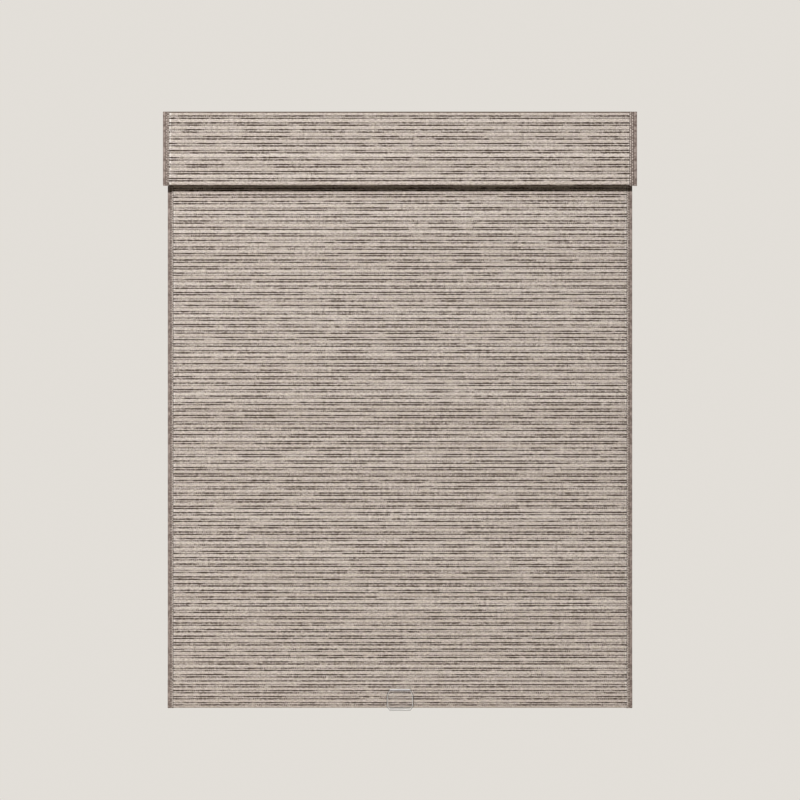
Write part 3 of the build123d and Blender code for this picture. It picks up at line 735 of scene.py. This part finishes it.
def recalculate(piece, angle=None):
    shell = bmesh.new()
    shell.from_mesh(piece.data)
    bmesh.ops.recalc_face_normals(shell, faces=shell.faces)
    shell.to_mesh(piece.data)
    shell.free()
    piece.data.shade_smooth()
    if angle is not None:
        piece.data.set_sharp_from_angle(angle=math.radians(angle))


trees = {"mat": matTree(), "beads": beadTree(), "stitches": stitchTree()}
print("node trees made")

# The four stretches of mat, their light warp threads and their bindings.
# "first" is where the first whole row starts; a higher "share" leaves more of the grooves without dots.
mats = {
    "fall": {"body": "headrail_assembly", "node": "woven_panel", "first": 1.2 * mm, "pitch": 12.55 * mm,
             "columns": 38, "seed": 1.0, "held": "hung", "on": ["roller_tube"], "share": 0.565},
    "roll": {"body": "roller", "node": "woven_panel", "first": -6.0 * mm, "pitch": 12.55 * mm,
             "columns": 38, "seed": 2.0, "held": "stretched", "on": ["roller_tube"], "share": 0.60},
    "valance": {"body": "headrail_assembly", "node": "valance_weave", "first": 8.0 * mm, "pitch": 13.35 * mm,
                "columns": 76, "seed": 3.0, "held": "stretched", "on": ["valance_board"], "share": 0.54},
    "hem": {"body": "hem", "node": "hem_weave", "first": 8.9 * mm, "pitch": 11.6 * mm,
            "columns": 76, "seed": 4.0, "held": "folded", "on": ["hem_bar"], "share": 0.57},
}


def makeMat(name, look):
    low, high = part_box(look["node"])
    width, length = high.x - low.x, routeLength(routes[name])
    points = [(0, y, z) for y, z in routes[name]]
    start = look["first"] - look["pitch"] * math.ceil(look["first"] / look["pitch"])
    values = {
        "Width": width, "Length": length, "First Row": start, "Row Pitch": look["pitch"],
        "Rows": math.ceil((length - start) / look["pitch"]), "Columns": look["columns"],
        "Seed": look["seed"], "Material": materials["woven_mat"],
    }
    mat = runTree(name + "Mat", trees["mat"], points, values)
    recalculate(mat)
    beads = runTree(name + "Beads", trees["beads"], points, {
        **values, "Share": look["share"], "Bead Pitch": thread["pitch"], "Material": materials["warp_thread"],
        "Width": width - 2 * thread["sideMargin"]})
    return mat, beads, (width, length)


def settle(piece, body, slot, *replaced):
    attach(piece, body)
    if replaced:
        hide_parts(*replaced)


def rollUp(piece):
    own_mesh(piece)


def tapeHeight(along, look):
    place = (along - look["first"]) % look["pitch"]
    near = min(place, look["pitch"] - place, abs(place - weave["reedSpacing"])) / tape["ridgeWidth"]
    inner = weave["slatHalf"] + tape["gap"]
    return inner + tape["thickness"] - tape["ridge"] * math.exp(-near * near)


# The tape's section round the mat's edge: distance in from the edge, and height off the mat's middle
def tapeSection(outer):
    face, fold, wall = tape["face"], tape["fold"], tape["thickness"]
    inner = weave["slatHalf"] + tape["gap"]
    front = [
        (face, outer), (face / 2, outer), (fold, outer), (fold * 0.3, outer - fold * 0.3), (0, outer - fold)]
    back = [(inset, -reach) for inset, reach in front[::-1]]
    return front + back + [(face, -inner), (wall, -inner), (wall, inner), (face, inner)]


def rowOf(along, look):
    return (along - look["first"]) / look["pitch"] + look["seed"] * 100


def storeCoords(mesh, values):
    attribute = mesh.attributes.new("weave", "FLOAT_VECTOR", "POINT")
    attribute.data.foreach_set("vector", [number for value in values for number in value])


def makeTape(name, route, look, edgeX, side, length):
    count = math.ceil(length / look["pitch"] * tape["stationsPerRow"])
    vertices, coords = [], []
    for station in range(count + 1):
        along = length * station / count
        (y, z), (normalY, normalZ) = routeAt(route, along)
        for inset, reach in tapeSection(tapeHeight(along, look)):
            vertices.append((edgeX - side * inset, y + normalY * reach, z + normalZ * reach))
            coords.append((inset, rowOf(along, look), reach))
    loops = len(vertices) // (count + 1)
    faces = [
        (a * loops + b, a * loops + (b + 1) % loops, (a + 1) * loops + (b + 1) % loops, (a + 1) * loops + b)
        for a in range(count) for b in range(loops)
    ]
    faces += [tuple(range(loops)), tuple(range(count * loops, (count + 1) * loops))]
    mesh = newMesh(name, vertices, [], faces)
    mesh.materials.append(materials["binding_tape"])
    storeCoords(mesh, coords)
    piece = newPiece(name, mesh)
    recalculate(piece, 50)
    print("made", name, len(mesh.polygons), "faces")
    return piece


def makeStitches(name, route, x, length):
    return runTree(name, trees["stitches"], [(0, y, z) for y, z in route], {
        "X": x, "Height": weave["slatHalf"] + tape["gap"] + tape["thickness"], "Start": tape["stitchStart"],
        "Count": int((length - tape["stitchMargin"]) / tape["stitchPitch"]),
        "Stitch Pitch": tape["stitchPitch"], "Material": materials["warp_thread"]})


bindings = {
    "fall": {"node": "panel_binding", "stop": hemHigh.z + 0.3 * mm},
    "roll": {"node": "panel_binding", "stop": None},
    "hem": {"node": "hem_binding", "stop": None},
}

for name, look in mats.items():
    mat, beads, flat = makeMat(name, look)
    pieces = [beads]
    settle(beads, look["body"], "woven_mat")
    settle(mat, look["body"], "woven_mat", look["node"])
    if name in bindings:
        bound = bindings[name]
        for sideName, side in (("Left", -1), ("Right", 1)):
            node = bound["node"] + "_" + sideName.lower()
            low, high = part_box(node)
            edgeX = low.x if side < 0 else high.x
            length = flat[1] if bound["stop"] is None else rollerZ - bound["stop"]
            binding = makeTape(name + "Tape" + sideName, routes[name], look, edgeX, side, length)
            stitches = makeStitches(
                name + "Stitches" + sideName, routes[name],
                edgeX - side * (tape["face"] - tape["stitchInset"]), length)
            settle(binding, look["body"], "binding_tape", node)
            settle(stitches, look["body"], "binding_tape")
            pieces += [binding, stitches]
    if name == "fall":
        for piece in [mat, *pieces]:
            rollUp(piece)
print("mats, threads and bindings made")

# Stiff pieces are copies of the solids with softened edges; "sharp" is the angle that stays an edge
def softCopy(name, node, width, segments=2, sharp=35):
    mesh = nodes[node].data.copy()
    shell = bmesh.new()
    shell.from_mesh(mesh)
    bmesh.ops.remove_doubles(shell, verts=shell.verts, dist=0.001 * mm)
    bmesh.ops.dissolve_limit(shell, angle_limit=math.radians(1), verts=shell.verts, edges=shell.edges)
    shell.to_mesh(mesh)
    shell.free()
    piece = newPiece(name, mesh)
    bevel = piece.modifiers.new("edges", "BEVEL")
    bevel.width = width
    bevel.segments = segments
    bevel.limit_method = "ANGLE"
    bevel.angle_limit = math.radians(40)
    applyModifier(piece, bevel)
    recalculate(piece, sharp)
    return piece


softened = {
    "end_plate_left": 0.35 * mm, "end_plate_right": 0.35 * mm, "headrail": 0.3 * mm,
    "mounting_clip_left": 0.2 * mm, "mounting_clip_right": 0.2 * mm, "valance_board": 0.4 * mm,
    "end_plate_screws_left": 0.25 * mm, "end_plate_screws_right": 0.25 * mm,
    "hem_end_cap_left": 0.3 * mm, "hem_end_cap_right": 0.3 * mm,
}


def bodyOf(node):
    return next(body for body, names in frame["record"]["behaviour"]["bodies"].items() if node in names)


for node, width in softened.items():
    words = node.split("_")
    name = words[0] + "".join(word.title() for word in words[1:])
    sharp = 35 if "screws" in words else 20  # flat plates keep their bevels sharp, or they shade unevenly
    settle(softCopy(name, node, width, 2, sharp), bodyOf(node), nodeSlots[node], node)
print("softened", len(softened), "stiff pieces")

# The valance's bindings, each with a line of stitches
valanceTape = {
    "bevel": 0.22 * mm,
    "stitchY": 1.45 * mm,         # the stitches' line, behind the tape's front
    "faces": {"Left": (-1, 12 * mm), "Right": (1, 15 * mm)},
}

for sideName, (side, face) in valanceTape["faces"].items():
    node = "valance_binding_" + sideName.lower()
    low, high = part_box(node)
    edgeX = low.x if side < 0 else high.x
    look = mats["valance"]
    binding = softCopy("valanceTape" + sideName, node, valanceTape["bevel"])
    storeCoords(binding.data, [
        ((edgeX - v.co.x) * side * tape["face"] / face, rowOf(valanceHigh.z - v.co.z, look), v.co.y)
        for v in binding.data.vertices])
    settle(binding, "headrail_assembly", "binding_tape", node)
    lineY = low.y + valanceTape["stitchY"]
    stitches = makeStitches("valanceStitches" + sideName, [(lineY, high.z), (lineY, low.z)],
                            edgeX - side * (face - tape["stitchInset"]), high.z - low.z)
    settle(stitches, "headrail_assembly", "binding_tape")

# A strip folded over the top edge of the valance's mat and board, its dark colour painted shade along that edge
topEdge = {"height": 2.1 * mm, "sheet": 0.28 * mm, "clear": 0.06 * mm, "inset": 10 * mm}


def makeTopEdge():
    sheet = topEdge["sheet"]
    front = valanceLow.y - sheet
    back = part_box("valance_board")[1].y + sheet + topEdge["clear"]
    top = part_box("valance_binding_left")[1].z - topEdge["clear"]
    foot = top - topEdge["height"]
    outline = [
        (front, foot), (front, top), (back, top), (back, foot), (back - sheet, foot),
        (back - sheet, top - sheet), (front + sheet, top - sheet), (front + sheet, foot),
    ]
    left, right = valanceLow.x + topEdge["inset"], valanceHigh.x - topEdge["inset"]
    vertices = [(x, y, z) for x in (left, right) for y, z in outline]
    count = len(outline)
    faces = [(i, (i + 1) % count, count + (i + 1) % count, count + i) for i in range(count)]
    faces += [tuple(range(count)), tuple(range(count, 2 * count))]
    piece = newPiece("valanceTopEdge", newMesh("valanceTopEdge", vertices, [], faces))
    piece.data.materials.append(materials["top_edge_shade"])
    recalculate(piece, 35)
    return piece


settle(makeTopEdge(), "headrail_assembly", "binding_tape")


def wireOf(m, line, sides, radius):
    profile = m.add("GeometryNodeCurvePrimitiveCircle", None, {"Resolution": sides, "Radius": radius})
    return m.add("GeometryNodeCurveToMesh", None, {
        "Curve": line, "Profile Curve": profile, "Fill Caps": True})


# The clear tab, with a bead along its outline painted as a white highlight, and dark lines along its edge and
# under its ledge painted as shade and refraction
def rimTree():
    tree, m, given = newTree("tabRim", [
        ("Radius", "Float", tab["rimRadius"]), ("Sides", "Int", 10), ("Shade", "Float", 1.0),
        ("Material", "Material", None),
    ])
    line = m.add("GeometryNodeMeshToCurve", None, {"Mesh": given["Geometry"]})
    stored = m.add("GeometryNodeStoreNamedAttribute", {"data_type": "FLOAT", "domain": "FACE"}, {
        "Geometry": wireOf(m, line, given["Sides"], given["Radius"]), "Name": "rim", "Value": given["Shade"]})
    closeTree(m, stored, given["Material"])
    return tree


def makeRim():
    plate = [v.co for v in nodes["pull_tab"].data.vertices]
    wide = max(c.x for c in plate)
    top, bottom = max(c.z for c in plate), min(c.z for c in plate)
    sides = [c.z for c in plate if c.x > wide - 0.1 * mm]
    narrow = max(c.x for c in plate if c.z > top - 0.1 * mm)
    front = min(c.y for c in plate if c.x > wide - 0.1 * mm)
    middle = (top + bottom) / 2
    corners = [(narrow, top), (wide, max(sides)), (wide, min(sides)), (narrow, bottom)]
    corners += [(-x, z) for x, z in corners[::-1]]
    foot = top - tab["ledge"]
    tree = rimTree()

    def outline(inset):
        shrinkX, shrinkZ = 1 - inset / wide, 1 - inset / (top - middle)
        return [(x * shrinkX, front, middle + (z - middle) * shrinkZ) for x, z in corners]

    lines = {
        # The bead is painted as a white highlight; the outline and the ledge's foot are painted dark, as shade and
        # refraction
        "tabRim": (outline(tab["rimInset"]), True, "bead", tab["rimRadius"]),
        "tabEdge": (outline(tab["edgeInset"]), True, "edge", tab["edgeRadius"]),
        "ledgeFoot": ([(-narrow, front, foot), (narrow, front, foot)], False, "edge", tab["edgeRadius"]),
    }
    for name, (points, closed, kind, radius) in lines.items():
        piece = runTree(name, tree, points, {
            "Material": materials["clear_plastic"], "Shade": rimKinds[kind], "Radius": radius}, closed)
        recalculate(piece)
        settle(piece, "hem", "clear_plastic")
    return front


def rimKind(face, front):
    if face.center.y < front - 0.3 * mm:  # on the ledge: its upper slope catches the light
        return "bead" if face.normal.z > 0.4 and face.normal.y < -0.2 else "veil"
    # The plate's side faces are painted dark, as shade and refraction at its edge
    return "clear" if abs(face.normal.y) > 0.9 else "edge"


def makeTab(front):
    piece = softCopy("clearTab", "pull_tab", tab["bevel"], tab["segments"])
    rim = piece.data.attributes.new("rim", "FLOAT", "FACE")
    rim.data.foreach_set("value", [rimKinds[rimKind(face, front)] for face in piece.data.polygons])
    return piece


settle(makeTab(makeRim()), "hem", "clear_plastic", "pull_tab")
print("tab made")

# Round wire springs on the roller's axis, at the places of the solids
springs = {
    "torsionSpring": {"node": "torsion_spring", "body": "headrail_assembly", "wire": 0.8 * mm, "turns": 52,
                      "sides": 22},
    "pinSpring": {"node": "pin_spring", "body": "roller", "wire": 0.38 * mm, "turns": 7, "sides": 24},
}


def springTree():
    tree, m, given = newTree("wireSpring", [
        ("Radius", "Float", 8 * mm), ("Wire", "Float", 0.8 * mm), ("Length", "Float", 0.1),
        ("Start", "Float", 0.0), ("Height", "Float", 0.0), ("Turns", "Int", 10), ("Sides", "Int", 20),
        ("Material", "Material", None),
    ])
    count = given["Turns"] * given["Sides"] + 1
    line = m.add("GeometryNodeMeshLine", {"mode": "OFFSET"}, {"Count": count})
    step = m.add("GeometryNodeInputIndex")
    turn = step / given["Sides"] * (2 * math.pi)
    point = m.vector(
        given["Start"] + given["Length"] * step / (count - 1),
        m.math("COSINE", turn) * given["Radius"],
        m.math("SINE", turn) * given["Radius"] + given["Height"],
    )
    placed = m.add("GeometryNodeSetPosition", None, {"Geometry": line, "Position": point})
    curve = m.add("GeometryNodeMeshToCurve", None, {"Mesh": placed})
    closeTree(m, wireOf(m, curve, 6, given["Wire"]), given["Material"])
    return tree


coils = springTree()
for name, look in springs.items():
    low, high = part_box(look["node"])
    wire = look["wire"]
    spring = runTree(name, coils, [(0, 0, 0), (0, 0, 1 * mm)], {
        "Radius": (high.y - low.y) / 2 - 1.3 * wire, "Wire": wire, "Length": high.x - low.x - 2.4 * wire,
        "Start": low.x + 1.2 * wire, "Height": rollerZ, "Turns": look["turns"], "Sides": look["sides"],
        "Material": materials["spring_steel"]})
    recalculate(spring)
    settle(spring, look["body"], "spring_steel", look["node"])
    if name == "pinSpring":
        deforming = next(d for joint in frame["record"]["behaviour"]["joints"] if joint["name"] == "pin_press"
                         for d in joint["deforming_nodes"])
        1 - 0.006 / (high.x - deforming["fixed_end_x_m"])
        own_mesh(spring)
print("springs made")

# Floor, light and camera
stageLook = {
    "floorZ": -1.62,
    "floorSize": 3.2,
    "floorColor": (0.60, 0.55, 0.48),
    "background": (0.765, 0.735, 0.69),
    "fill": 0.03,
    "fillColor": (1.0, 0.70, 0.38),
    "cameraDistance": 6.05,
    "cameraHeight": -0.557,
    "viewWidth": 1.5424,
    "sensor": 36,
}

lamps = {
    "key": {"azimuth": -14, "elevation": 29, "distance": 5.6, "size": 0.62, "power": 327},
    "backLeft": {"azimuth": -140, "elevation": 35, "distance": 4.0, "size": 1.6, "power": 70},
    "backRight": {"azimuth": 140, "elevation": 20, "distance": 4.0, "size": 1.6, "power": 60},
}

target = Vector((0, 0, stageLook["cameraHeight"]))


def makeFloor():
    half, z = stageLook["floorSize"] / 2, stageLook["floorZ"]
    corners = [(-half, -half, z), (half, -half, z), (half, half, z), (-half, half, z)]
    floor = newPiece("floor", newMesh("floor", corners, [], [(0, 1, 2, 3)]))
    material, m = newMaterial("floor")
    surface(m, {"Base Color": stageLook["floorColor"], "Roughness": 0.9})
    floor.data.materials.append(material)


def makeWorld():
    world = bpy.data.worlds.new("room")
    scene.world = world
    world.use_nodes = True
    world.node_tree.nodes.clear()
    m = NodeMaker(world.node_tree)
    rays = m.add("ShaderNodeLightPath").socket.node.outputs
    camera, glossy, through = (
        Socket(m, rays[name]) for name in ("Is Camera Ray", "Is Glossy Ray", "Is Transmission Ray"))
    shown = m.most(m.most(camera, glossy), through)
    fill = m.add("ShaderNodeBackground", None, {
        "Color": withAlpha(stageLook["fillColor"]), "Strength": stageLook["fill"]})
    plain = m.add("ShaderNodeBackground", None, {
        "Color": withAlpha(stageLook["background"]), "Strength": 1.0})
    mixed = m.add("ShaderNodeMixShader", None, {0: shown, 1: fill, 2: plain})
    m.add("ShaderNodeOutputWorld", None, {"Surface": mixed})


def makeLamp(name, look):
    azimuth, elevation = math.radians(look["azimuth"]), math.radians(look["elevation"])
    toward = Vector((
        math.sin(azimuth) * math.cos(elevation), -math.cos(azimuth) * math.cos(elevation), math.sin(elevation)
    ))
    light = bpy.data.lights.new(name, "AREA")
    light.energy = look["power"]
    light.size = look["size"]
    lamp = newPiece(name, light)
    lamp.location = target + toward * look["distance"]
    lamp.rotation_euler = toward.to_track_quat("Z", "Y").to_euler()


def makeCamera():
    data = bpy.data.cameras.new("camera")
    data.sensor_width = stageLook["sensor"]
    reach = stageLook["cameraDistance"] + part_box("valance_weave")[0].y  # from the camera to the valance
    data.lens = stageLook["sensor"] * reach / stageLook["viewWidth"]
    camera = newPiece("camera", data)
    camera.location = (0, -stageLook["cameraDistance"], stageLook["cameraHeight"])
    camera.rotation_euler = (math.radians(90), 0, 0)
    scene.camera = camera


makeFloor()
makeWorld()
for name, look in lamps.items():
    makeLamp(name, look)
makeCamera()
scene.view_settings.view_transform = "Standard"
print("stage made")
